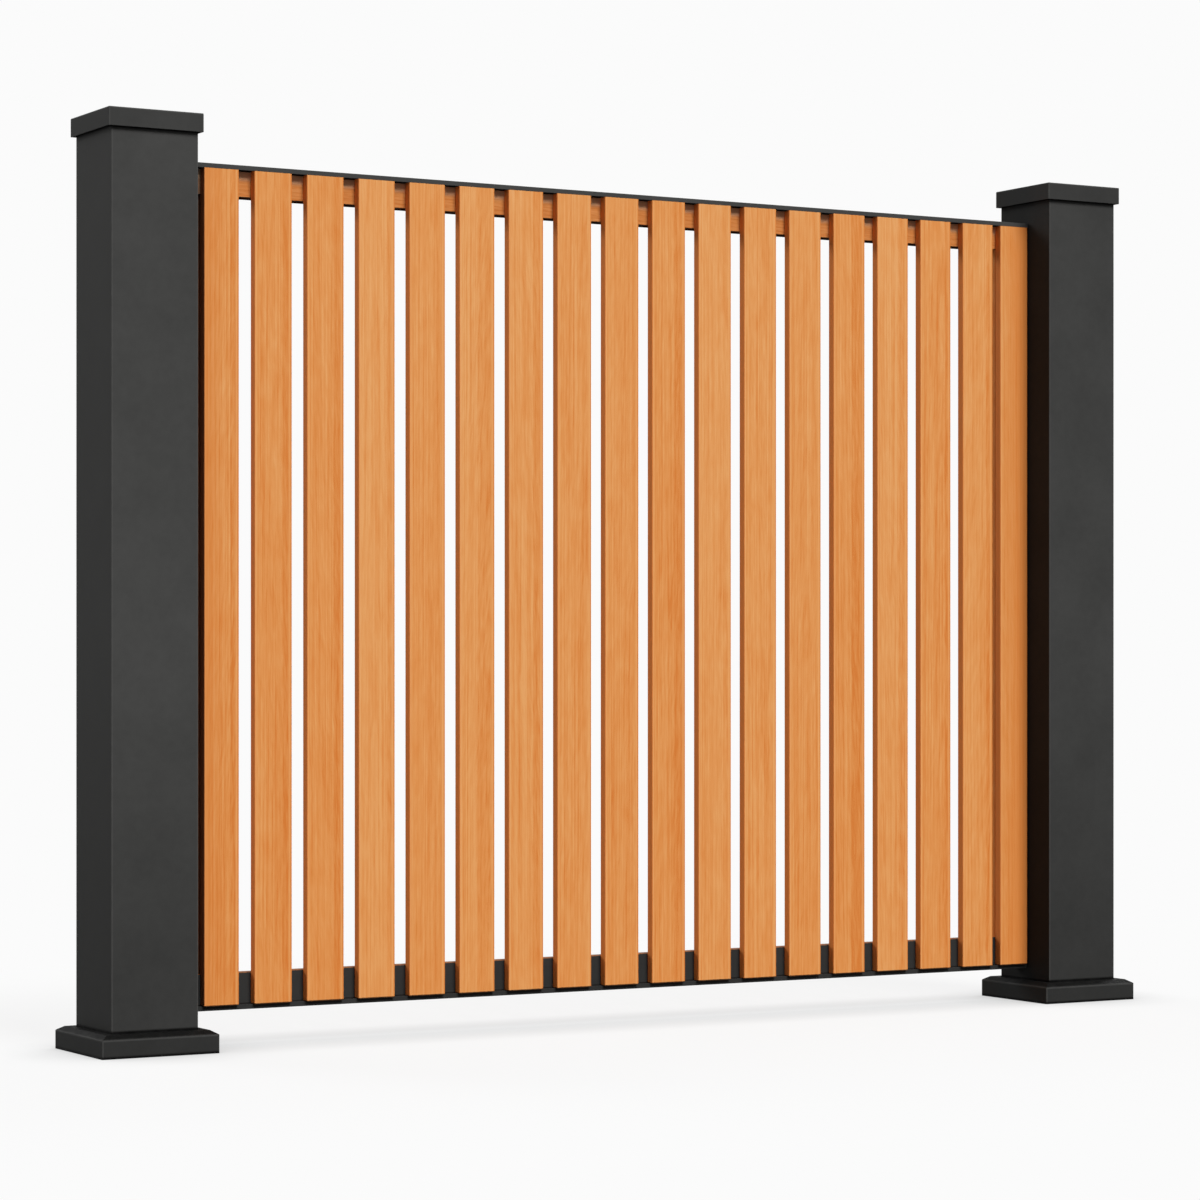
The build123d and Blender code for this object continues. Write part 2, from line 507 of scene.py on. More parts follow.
@dataclass(frozen=True)
class TimberPrint:
    """Printed timber grain, low in contrast.

    Most boards have a border between the two places that border gives, from their middle. Left
    of it they are paler and full of straight lines, right of it deeper and calmer, and a pale
    seam runs along it. A pair holds where something starts and where it is full, or where it
    starts to fade and where it is gone. All lengths are in millimetres.
    """

    lines: Streaks = Streaks(2.3, 700.0, 1.24)
    dashes: Streaks = Streaks(3.4, 38.0, 1.50, octaves=3.0)
    clouds: Streaks = Streaks(22.0, 85.0, 0.60, octaves=3.0)
    pores: Streaks = Streaks(0.8, 16.0, 0.12)
    pore_edge: tuple[float, float] = (0.12, 0.24)
    sway: Streaks = Streaks(1.0, 150.0, 14.0)
    slant_spread: float = 0.16
    rings: GrowthRings = GrowthRings()
    ring_weight: float = 0.20
    split_odds: tuple[float, float] = (0.2, 0.5)
    border: tuple[float, float] = (-13.2, 8.8)
    border_sway: float = 2.0
    border_fade: float = 2.5
    seam: tuple[float, float] = (0.5, 2.0)
    seam_weight: float = 0.22
    ground: float = 0.54
    paler: float = 0.12
    deeper: float = 0.26
    calm: float = 0.75
    dash_calm: float = 0.60

    def signals(self, sheet: FinishSheet, board: Board) -> GrainSignals:
        """Work out the grain at one place.

        Args:
            sheet: the finish's tree.
            board: the place on the board.

        Returns:
            The layers, and their tone from 0, deep, to 1, pale.
        """
        sway = sheet.streaks(replace(board, across=0.0), self.sway)
        slant = self.slant_spread * (sheet.chance(board.seed, Draw.SLANT) - MEAN)
        slanted = replace(board, across=board.across + slant * board.along + self.sway.weight * sway)
        first, last = self.border
        border = first + (last - first) * sheet.chance(board.seed, Draw.BORDER)
        from_border = board.across - border + self.border_sway * sway
        split = sheet.chance(board.seed, Draw.SPLIT).above(*self.split_odds)
        right = from_border.above(-self.border_fade, self.border_fade)
        seam = abs(from_border).below(*self.seam) * split
        straight = 1 - self.calm * right * split
        lines = sheet.streaks(board, self.lines)
        dashes = sheet.streaks(slanted, self.dashes)
        clouds = sheet.streaks(slanted, self.clouds)
        pores = sheet.streaks(board, self.pores).above(*self.pore_edge)
        late = self.rings.late_wood(sheet, board)
        tone = self.ground + split * (self.paler - self.deeper * right) + self.seam_weight * seam
        tone = tone + self.lines.weight * straight * lines
        tone = tone + (self.dashes.weight - self.dash_calm * straight) * dashes
        tone = tone + self.clouds.weight * clouds - self.ring_weight * late - self.pores.weight * pores
        return GrainSignals(tone, lines, dashes, clouds, pores)


@dataclass(frozen=True)
class EdgeLines:
    """Painted highlights on a slat's two front edges, and painted shade at its right corner and left side.

    A pair holds where a line starts and where it is full, or where it starts to fade and where
    it is gone, as distances from its edge. round_off is where the front turns into the sides.
    All lengths are in millimetres.
    """

    left_start: tuple[float, float] = (0.9, 1.7)
    left_end: tuple[float, float] = (2.0, 5.5)
    right_start: tuple[float, float] = (2.0, 3.5)
    right_end: tuple[float, float] = (4.0, 8.0)
    right_corner: tuple[float, float] = (1.5, 3.5)
    round_off: tuple[float, float] = (0.2, 0.8)
    highlight_share: float = 0.55
    corner_shade_share: float = 0.75
    side_shade_share: float = 0.85


@dataclass(frozen=True)
class WoodLookCoat:
    """Satin powder coat with a printed timber grain, different on each slat.

    Where hollow gives the front and back of a channel's inside, that is painted near-black, as
    painted shade. Where slot_shade gives a distance along the fence and one towards the back, the
    coat is painted dark up to there, as painted shade in the slot beside the left post. Where ends
    gives two distances along the fence, the print is painted deeper towards them, as painted shade
    beside the posts. front is that of the slats. All lengths are in millimetres.
    """

    name: str
    run: GrainRun
    seed: float = 0.37
    grain: TimberPrint = TimberPrint()
    edges: EdgeLines = EdgeLines()
    pale: Colour = (0.752, 0.372, 0.142, 1.0)
    middle: Colour = (0.704, 0.288, 0.086, 1.0)
    deep: Colour = (0.643, 0.204, 0.043, 1.0)
    # Redder colour painted over the left side of a slat, as shade.
    side: Colour = (0.800, 0.258, 0.062, 1.0)
    # Painted shade: tint laid over the lower part of each piece, strongest at the bottom, gone at low_reach.
    low_tint: Colour = (0.949, 0.802, 0.605, 1.0)
    low_share: float = 0.43
    low_reach: float = 1500.0
    lot_share: float = 0.30
    roughness: float = 0.50
    dash_gloss: float = 0.18
    specular: float = 0.022
    dash_height: float = 0.6
    line_height: float = 0.4
    pore_depth: float = 0.3
    relief: Relief = Relief(0.15, 0.25)
    hollow: tuple[float, float] | None = None
    hollow_edge: tuple[float, float] = (0.5, 1.0)
    channel_shade: Colour = NEAR_BLACK
    channel_shade_cover: Patchy = Patchy(0.9, 0.1)
    ends: tuple[float, float] | None = None
    end_reach: tuple[float, float] = (40.0, 70.0)
    end_shade: tuple[float, float] = (0.55, 0.85)
    slot_shade: tuple[float, float] | None = None
    slot_shade_fade: float = 1.2
    slot_shade_colour: Colour = (0.160, 0.090, 0.055, 1.0)
    slot_shade_cover: Patchy = Patchy(0.95, 0.3)
    front: float = 0.0
    bands: tuple[PaintedBand, ...] = ()

    def make(self) -> bpy.types.Material:
        """Build the material.

        Returns:
            The finished material.
        """
        sheet = FinishSheet(self.name)
        grain = self.grain.signals(sheet, self.board(sheet))
        tone = grain.tone
        if self.run is GrainRun.SLAT:
            tone = tone + self.lot_share * (sheet.attribute("slat_lot") - MEAN)
        ramp = sheet.node(
            "ShaderNodeValToRGB",
            {"stops": [(0.0, self.deep), (0.5, self.middle), (1.0, self.pale)]},
            {"Fac": tone},
        )
        # Painted shade: darker and warmer towards the bottom.
        low_shade = sheet.z.below(0.0, self.low_reach) * self.low_share
        colour = sheet.blend(low_shade, ramp.outputs["Color"], self.low_tint, Blend.TINT)
        if self.run is GrainRun.SLAT:
            colour = self.paint_edges(sheet, colour)
        height = MEAN + self.dash_height * grain.dashes + self.line_height * grain.lines
        return sheet.coat({
            "Base Color": self.paint_shade_and_light(sheet, colour, grain.clouds),
            "Roughness": self.roughness + self.dash_gloss * grain.dashes,
            "Specular IOR Level": self.specular,
            "Normal": sheet.bump(height - self.pore_depth * grain.pores, self.relief),
        })

    def board(self, sheet: FinishSheet) -> Board:
        """Find the way across the grain, the way along it and the seed.

        Args:
            sheet: the finish's tree.

        Returns:
            The place on the board.
        """
        if self.run is GrainRun.SLAT:
            off_centre = sheet.attribute("from_left") - sheet.attribute("from_right")
            across = off_centre * (0.5 / MM) + sheet.y
            return Board(across, sheet.z, sheet.attribute("slat_seed"))
        if self.run is GrainRun.RAIL:
            return Board(sheet.z + sheet.y, sheet.x, self.seed)
        return Board(sheet.x + sheet.y, sheet.z, self.seed)

    def paint_edges(self, sheet: FinishSheet, colour: bpy.types.NodeSocket) -> bpy.types.NodeSocket:
        """Paint highlights and shade along the slat's two front edges and on its left side.

        Args:
            sheet: the finish's tree.
            colour: the grain's colour.

        Returns:
            The colour with its painted highlights and shade.
        """
        edges = self.edges
        from_left = sheet.attribute("from_left") * (1 / MM)
        from_right = sheet.attribute("from_right") * (1 / MM)
        front = sheet.y.below(*(self.front + depth for depth in edges.round_off))
        # Painted highlight: pale lines just inside both front edges.
        left_highlight = from_left.above(*edges.left_start) * from_left.below(*edges.left_end)
        right_highlight = from_right.above(*edges.right_start) * from_right.below(*edges.right_end)
        corner = from_right.below(*edges.right_corner)
        colour = sheet.blend(edges.highlight_share * (left_highlight + right_highlight) * front, colour, self.pale)
        # Painted shade: a deep line at the right corner, and a redder colour over the left side.
        colour = sheet.blend(edges.corner_shade_share * corner * front, colour, self.deep)
        return sheet.blend(edges.side_shade_share * from_left.below(*edges.left_start), colour, self.side)

    def paint_shade_and_light(
        self, sheet: FinishSheet, colour: bpy.types.NodeSocket, clouds: Signal
    ) -> bpy.types.NodeSocket:
        """Add the painted shade and the painted bands, where the coat has them.

        Args:
            sheet: the finish's tree.
            colour: the print without painted shade.
            clouds: pattern that makes the painted shade inside the channel and in the slot uneven.

        Returns:
            The finished colour.
        """
        # Painted shade: the channel's inside is painted near-black, for the shade in it.
        if self.hollow:
            front, back = self.hollow
            near, far = self.hollow_edge
            inside = sheet.y.above(front - far, front - near) * sheet.y.below(back + near, back + far)
            colour = sheet.blend(self.channel_shade_cover.over(inside, clouds), colour, self.channel_shade)
        # Painted shade: the print is painted deeper towards both ends, for the shade beside the posts.
        if self.ends:
            first, last = self.ends
            left = sheet.x.below(first, first + self.end_reach[0])
            right = sheet.x.above(last - self.end_reach[1], last)
            colour = sheet.blend(self.end_shade[0] * left + self.end_shade[1] * right, colour, self.deep)
        # Painted shade: the coat is painted dark in the slot beside the left post, for the shade there.
        if self.slot_shade:
            end, depth = self.slot_shade
            slot = sheet.x.below(end, end + self.slot_shade_fade) * sheet.y.below(depth, depth + self.slot_shade_fade)
            colour = sheet.blend(self.slot_shade_cover.over(slot, clouds), colour, self.slot_shade_colour)
        return sheet.paint_bands(colour, self.bands)


@dataclass(frozen=True)
class AnthraciteCoat:
    """Satin anthracite powder coat, with painted highlights on corners and painted shade at joints.

    half_width is that of a square piece round a post's axis, and crests are the heights of its
    level edges. Without a half width the piece has no painted highlights on its corners and no
    painted shade at joints. Painted shade lies under shade_height and within shade_width of a
    post's axis, and thins out over shade_fade. Over shade_top there is the share shade_over_top of
    it, and on faces towards the panel the share inner. Painted shade also darkens the coat towards
    foot_level below foot_shade_reach, and by the share drift from the left post to the right one.
    All lengths are in millimetres.
    """

    name: str
    post_spacing: float
    level: float = 0.054
    # Painted shade: level at the ground, and the height below which the coat darkens towards it.
    foot_level: float = 0.054
    foot_shade_reach: float = 750.0
    # Painted shade: share by which the coat darkens from the left post to the right one.
    drift: float = 0.0
    contrast: float = 0.18
    warmth: float = 0.97
    cloud_size: float = 120.0
    cloud_weight: float = 1.1
    mottle_size: float = 14.0
    mottle_weight: float = 0.5
    peel_size: float = 1.1
    peel_weight: float = 0.25
    half_width: float = 0.0
    crests: tuple[float, ...] = ()
    # Painted highlight along corners and level edges: its width, level and patchy cover.
    highlight_width: tuple[float, float] = (0.8, 3.0)
    highlight_level: float = 0.095
    highlight_cover: Patchy = Patchy(0.3, 0.4)
    # Painted shade: where it lies and how it fades, its level and its patchy cover.
    shade_height: float = -100.0
    shade_top: float = 5000.0
    shade_width: float = -100.0
    shade_fade: float = 4.0
    shade_over_top: float = 1.0
    inner: float = 0.0
    inner_fade: float = 1.0
    painted_shade: float = 0.003
    shade_cover: Patchy = Patchy(0.75, 0.4)
    bands: tuple[PaintedBand, ...] = ()
    roughness: float = 0.58
    mottle_gloss: float = 0.16
    cloud_gloss: float = 0.1
    specular: float = 0.022
    relief: Relief = Relief(0.06, 0.3)

    def make(self) -> bpy.types.Material:
        """Build the material.

        Returns:
            The finished material.
        """
        sheet = FinishSheet(self.name)
        clouds = sheet.noise(sheet.place, self.cloud_size, octaves=3.0)
        mottle = sheet.noise(sheet.place, self.mottle_size)
        peel = sheet.noise(sheet.place, self.peel_size, octaves=1.0)
        tone = MEAN + self.cloud_weight * (clouds - MEAN) + self.mottle_weight * (mottle - MEAN)
        tone = tone + self.peel_weight * (peel - MEAN)
        darker, lighter = 1 - self.contrast, 1 + self.contrast
        unshaded, foot_shaded = (
            sheet.blend(tone, self.shade(darker * level), self.shade(lighter * level))
            for level in (self.level, self.foot_level)
        )
        # Painted shade: the coat darkens towards its foot level, down to the ground.
        colour = sheet.blend(sheet.z.below(0.0, self.foot_shade_reach), unshaded, foot_shaded)
        # Painted shade: darker from the left post to the right one.
        colour = sheet.blend(self.drift * sheet.x.above(0.0, self.post_spacing), colour, grey(0.0))
        if self.half_width:
            # Painted highlight on corners and level edges, and painted shade at joints; both patchy.
            worn_and_highlit = self.highlight_cover.over(self.corner(sheet), mottle)
            shaded = self.shade_cover.over(self.joint(sheet), mottle)
            colour = sheet.blend(worn_and_highlit, colour, self.shade(self.highlight_level))
            colour = sheet.blend(shaded, colour, self.shade(self.painted_shade))
        gloss = self.mottle_gloss * (mottle - MEAN) + self.cloud_gloss * (clouds - MEAN)
        return sheet.coat({
            "Base Color": sheet.paint_bands(colour, self.bands),
            "Roughness": self.roughness + gloss,
            "Specular IOR Level": self.specular,
            "Normal": sheet.bump(peel, self.relief),
        })

    def shade(self, level: float) -> Colour:
        """Grey of one level, a little warm."""
        return (level, level, self.warmth * level, 1.0)

    def from_axis(self, sheet: FinishSheet) -> tuple[Signal, Signal]:
        """Distances from the nearer post's axis along the fence and across it."""
        middle = self.post_spacing / 2
        return abs(abs(sheet.x - middle) - middle), abs(sheet.y)

    def corner(self, sheet: FinishSheet) -> Signal:
        """Find the upright corners and level edges, which get a painted highlight.

        Args:
            sheet: the finish's tree.

        Returns:
            1 at a corner or edge and 0 away from all.
        """
        near, far = self.highlight_width
        inner = sheet.math("MINIMUM", *self.from_axis(sheet))
        nearest = inner.above(self.half_width - far, self.half_width - near)
        for crest in self.crests:
            nearest = sheet.math("MAXIMUM", nearest, abs(sheet.z - crest).below(near, far))
        return nearest

    def joint(self, sheet: FinishSheet) -> Signal:
        """Find how much painted shade lies on the surface, from 0 to 1.

        Args:
            sheet: the finish's tree.

        Returns:
            The most of the painted shade low down, high up, by the post and towards the panel.
        """
        middle = self.post_spacing / 2
        panel_end = middle - self.half_width
        outer = sheet.math("MAXIMUM", *self.from_axis(sheet))
        painted_shade = sheet.z.below(self.shade_height, self.shade_height + self.shade_fade)
        for more in (
            self.shade_over_top * sheet.z.above(self.shade_top - self.shade_fade, self.shade_top),
            self.inner * abs(sheet.x - middle).below(panel_end, panel_end + self.inner_fade),
            outer.below(self.shade_width, self.shade_width + self.shade_fade),
        ):
            painted_shade = sheet.math("MAXIMUM", painted_shade, more)
        return painted_shade


@dataclass(frozen=True)
class MillAluminium:
    """Bare rolled aluminium plate with fine streaks along the fence. Lengths are in millimetres."""

    name: str = "mill_aluminium"
    dull: Colour = (0.50, 0.51, 0.52, 1.0)
    bright: Colour = (0.72, 0.73, 0.74, 1.0)
    streak_length: float = 60.0
    streak_width: float = 0.7
    streak_weight: float = 1.2
    cloud_size: float = 40.0
    cloud_weight: float = 0.8
    roughness: float = 0.38
    streak_gloss: float = 0.3
    relief: Relief = Relief(0.04, 0.3)

    def make(self) -> bpy.types.Material:
        """Build the material.

        Returns:
            The finished material.
        """
        sheet = FinishSheet(self.name)
        width = self.streak_width
        place = sheet.vector(sheet.x / self.streak_length, sheet.y / width, sheet.z / width)
        streaks = sheet.noise(place, 1.0, octaves=3.0) - MEAN
        clouds = sheet.noise(sheet.place, self.cloud_size) - MEAN
        tone = MEAN + self.streak_weight * streaks + self.cloud_weight * clouds
        return sheet.coat({
            "Base Color": sheet.blend(tone, self.dull, self.bright),
            "Metallic": 1.0,
            "Roughness": self.roughness + self.streak_gloss * streaks,
            "Normal": sheet.bump(MEAN + streaks, self.relief),
        })


@dataclass(frozen=True)
class CoatedSteel:
    """Dark zinc-nickel coat on screw heads, brighter where wear shows. Lengths are in millimetres."""

    name: str = "screw_coat"
    dark: Colour = (0.030, 0.030, 0.031, 1.0)
    worn_and_highlit: Colour = (0.16, 0.16, 0.165, 1.0)
    wear_size: float = 2.2
    wear_edge: tuple[float, float] = (0.48, 0.68)
    wear_share: float = 0.6
    grain_size: float = 0.5
    metallic: float = 0.35
    worn_metallic: float = 0.4
    roughness: float = 0.42
    grain_gloss: float = 0.2
    relief: Relief = Relief(0.03, 0.3)

    def make(self) -> bpy.types.Material:
        """Build the material.

        Returns:
            The finished material.
        """
        sheet = FinishSheet(self.name)
        wear = sheet.noise(sheet.place, self.wear_size, octaves=3.0).above(*self.wear_edge)
        grain = sheet.noise(sheet.place, self.grain_size)
        return sheet.coat({
            "Base Color": sheet.blend(self.wear_share * wear, self.dark, self.worn_and_highlit),
            "Metallic": self.metallic + self.worn_metallic * wear,
            "Roughness": self.roughness + self.grain_gloss * (grain - MEAN),
            "Normal": sheet.bump(grain, self.relief),
        })


class GrowTree(NodeSheet):
    """Geometry tree that adds something to the mesh it is given."""

    def __init__(self, name: str, values: dict[str, Any]) -> None:
        """Make the tree with an input for each value that it will be given.

        Args:
            name: the tree's name.
            values: a value for each named input, which tells its kind.
        """
        super().__init__(bpy.data.node_groups.new(name, "GeometryNodeTree"))
        faces = self.tree.interface
        faces.new_socket("Geometry", in_out="OUTPUT", socket_type="NodeSocketGeometry")
        faces.new_socket("Geometry", in_out="INPUT", socket_type="NodeSocketGeometry")
        self.identifiers: dict[str, str] = {}
        for title, value in values.items():
            kind = SOCKET_KINDS[type(value)]
            self.identifiers[title] = faces.new_socket(title, in_out="INPUT", socket_type=kind).identifier
        self.inputs = self.node("NodeGroupInput").outputs

    def size(self, title: str) -> Signal:
        """Value of one named input."""
        return Signal(self, self.inputs[title])

    def close(self, instances: bpy.types.NodeSocket, kept: bpy.types.NodeSocket | None = None) -> None:
        """End the tree: realize the instances and give them their material.

        Args:
            instances: what the tree has placed.
            kept: earlier geometry that goes through unchanged.
        """
        solid = self.node("GeometryNodeRealizeInstances", None, {0: instances}).outputs[0]
        sockets = {"Geometry": solid, "Material": self.inputs["Material"]}
        dressed = self.node("GeometryNodeSetMaterial", None, sockets).outputs[0]
        parts = [dressed] if kept is None else [kept, dressed]
        joined = self.node("GeometryNodeJoinGeometry", None, {0: parts}).outputs[0]
        self.node("NodeGroupOutput", None, {0: joined})

    def grow(self, host: bpy.types.Object, values: dict[str, Any]) -> None:
        """Add the tree to an object as a modifier with these input values.

        Args:
            host: the object.
            values: one value for each named input.
        """
        modifier = host.modifiers.new(self.tree.name, "NODES")
        modifier.node_group = self.tree
        for title, value in values.items():
            modifier[self.identifiers[title]] = value


def host_object(name: str, points: list[Vector] | None = None) -> bpy.types.Object:
    """Object for geometry trees to grow on.

    Args:
        name: the piece's name.
        points: loose points of its mesh, if the tree needs some.

    Returns:
        The object, linked to the scene.
    """
    mesh = bpy.data.meshes.new(name)
    mesh.from_pydata(points or [], [], [])
    host = bpy.data.objects.new(name, mesh)
    bpy.context.scene.collection.objects.link(host)
    return host


def settle(host: bpy.types.Object) -> None:
    """Turn what the trees have grown into the object's own plain mesh.

    Args:
        host: the object, which loses its modifiers.
    """
    depsgraph = bpy.context.evaluated_depsgraph_get()
    grown = host.evaluated_get(depsgraph)
    mesh = bpy.data.meshes.new_from_object(grown, preserve_all_data_layers=True, depsgraph=depsgraph)
    host.modifiers.clear()
    host.data = mesh
    mesh.name = host.name


def place_on_root(piece: bpy.types.Object) -> None:
    """Let a new piece ride on the panel and log how many faces it has.

    Args:
        piece: the finished object.
    """
    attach(piece, BODY)
    LOG.info("%s: %d faces", piece.name, len(piece.data.polygons))


def dress(node: str, material: bpy.types.Material) -> None:
    """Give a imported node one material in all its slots.

    Args:
        node: the node's name.
        material: its finish.
    """
    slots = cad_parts[node].data.materials
    slots.clear()
    slots.append(material)
    LOG.info("%s: %s", node, material.name)


@dataclass
class SlatSet:
    """The upright slats: hollow extrusions with a web down the middle.

    foot_shade, a band of painted shade along their feet, is measured from their feet.
    """

    wall: float = 1.6 * MM
    ease: float = 1.5 * MM
    ease_steps: int = 4
    seed: int = 11
    lot_seed: int = 6478
    # Painted shade: near-black line along the slats' feet.
    foot_shade: PaintedBand = PaintedBand(-1.0, 1.2, 0.9, NEAR_BLACK)
    # Colour of the painted shade in the slot beside the left post, on the slats.
    slat_slot_shade: Colour = (0.240, 0.092, 0.045, 1.0)
    name: str = "slats"

    def build(self) -> None:
        """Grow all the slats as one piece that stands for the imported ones."""
        first_low, first_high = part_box(SLATS[0])
        finish = WoodLookCoat(
            "wood_look_slats",
            GrainRun.SLAT,
            # Painted shade: dark in the slot beside the left post, deeper print towards both ends by the
            # posts.
            slot_shade=(first_low.x / MM, first_high.y / MM),
            slot_shade_colour=self.slat_slot_shade,
            ends=(first_low.x / MM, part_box(SLATS[-1])[1].x / MM),
            front=first_low.y / MM,
            bands=(self.foot_shade.from_height(first_low.z / MM),),
        ).make()
        rows = [self.row_values(row, finish) for row in (SLATS[:1], SLATS[1:-1], SLATS[-1:])]
        tree = self.row_tree(rows[0])
        host = host_object(self.name)
        for values in rows:
            tree.grow(host, values)
        settle(host)
        place_on_root(host)
        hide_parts(*SLATS)

    def row_values(self, row: list[str], finish: bpy.types.Material) -> dict[str, Any]:
        """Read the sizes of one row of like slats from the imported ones.

        Args:
            row: the row's packed slats, evenly spaced.
            finish: the slats' material.

        Returns:
            A value for each input of the tree.
        """
        low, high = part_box(row[0])
        last_low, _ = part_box(row[-1])
        size = high - low
        return {
            "Width": size.x,
            "Depth": size.y,
            "Length": size.z,
            "Wall": self.wall,
            "Ease": self.ease,
            "Ease Steps": self.ease_steps,
            "Foot": (low.x + size.x / 2, low.y + size.y / 2, low.z),
            "Pitch": (last_low.x - low.x) / max(len(row) - 1, 1),
            "Count": len(row),
            "First": SLATS.index(row[0]),
            "Seed": self.seed,
            "Lot Seed": self.lot_seed,
            "Material": finish,
        }

    def row_tree(self, values: dict[str, Any]) -> GrowTree:
        """Make the tree that adds one row of slats.

        Args:
            values: the values of one row.

        Returns:
            The tree.
        """
        tree = GrowTree("slat_row", values)
        slat = self.edge_distances(tree, self.extrusion(tree))
        step = tree.vector(tree.size("Pitch"), 0.0, 0.0)
        line = tree.node(
            "GeometryNodeMeshLine",
            {"mode": "OFFSET"},
            {"Count": tree.size("Count"), "Start Location": tree.size("Foot"), "Offset": step},
        )
        placed = tree.node(
            "GeometryNodeInstanceOnPoints", None, {"Points": line.outputs[0], "Instance": slat}
        )
        number = Signal(tree, tree.node("GeometryNodeInputIndex").outputs[0]) + tree.size("First")
        row = placed.outputs[0]
        for title, seed in (("slat_seed", "Seed"), ("slat_lot", "Lot Seed")):
            draw = tree.node(
                "FunctionNodeRandomValue", {"data_type": "FLOAT"}, {"ID": number, "Seed": tree.size(seed)}
            )
            row = tree.node(
                "GeometryNodeStoreNamedAttribute",
                {"data_type": "FLOAT", "domain": "INSTANCE"},
                {"Geometry": row, "Name": title, "Value": draw.outputs[DRAW_RESULT]},
            ).outputs[0]
        tree.close(row, tree.inputs["Geometry"])
        return tree

    def extrusion(self, tree: GrowTree) -> bpy.types.NodeSocket:
        """Make one slat on the origin: a rounded section with two cells, drawn out to its length.

        Args:
            tree: the tree to build it in.

        Returns:
            The slat's geometry.
        """
        wall = tree.size("Wall")
        cell_width = (tree.size("Width") - 3 * wall) / 2
        cell_depth = tree.size("Depth") - 2 * wall
        square = tree.node(
            "GeometryNodeCurvePrimitiveQuadrilateral",
            None,
            {"Width": tree.size("Width"), "Height": tree.size("Depth")},
        )
        outline = tree.node(
            "GeometryNodeFilletCurve",
            {"mode": "POLY"},
            {"Curve": square.outputs[0], "Radius": tree.size("Ease"), "Count": tree.size("Ease Steps")},
        )
        cell = tree.node(
            "GeometryNodeCurvePrimitiveQuadrilateral", None, {"Width": cell_width, "Height": cell_depth}
        )
        loops = [outline.outputs[0]]
        for side in (-0.5, 0.5):
            shift = tree.vector(side * (cell_width + wall), 0.0, 0.0)
            sockets = {"Geometry": cell.outputs[0], "Translation": shift}
            loops.append(tree.node("GeometryNodeTransform", None, sockets).outputs[0])
        section = tree.node("GeometryNodeJoinGeometry", None, {0: loops})
        face = tree.node("GeometryNodeFillCurve", {"mode": "NGONS"}, {"Curve": section.outputs[0]})
        drawn = tree.node(
            "GeometryNodeExtrudeMesh",
            {"mode": "FACES"},
            {
                "Mesh": face.outputs[0],
                "Offset": (0.0, 0.0, 1.0),
                "Offset Scale": tree.size("Length"),
                "Individual": False,
            },
        )
        foot = tree.node("GeometryNodeFlipFaces", None, {"Mesh": face.outputs[0]})
        whole = tree.node("GeometryNodeJoinGeometry", None, {0: [drawn.outputs[0], foot.outputs[0]]})
        return tree.node("GeometryNodeMergeByDistance", None, {"Geometry": whole.outputs[0]}).outputs[0]

    def edge_distances(self, tree: GrowTree, slat: bpy.types.NodeSocket) -> bpy.types.NodeSocket:
        """Store how far each point is from the slat's left and right edges.

        Args:
            tree: the tree to build it in.
            slat: the slat on the origin.

        Returns:
            The slat with both attributes.
        """
        spot = tree.node("GeometryNodeInputPosition").outputs[0]
        across = Signal(tree, tree.node("ShaderNodeSeparateXYZ", None, {0: spot}).outputs["X"])
        half = tree.size("Width") / 2
        for title, distance in (("from_left", half + across), ("from_right", half - across)):
            slat = tree.node(
                "GeometryNodeStoreNamedAttribute",
                {"data_type": "FLOAT", "domain": "POINT"},
                {"Geometry": slat, "Name": title, "Value": distance},
            ).outputs[0]
        return slat


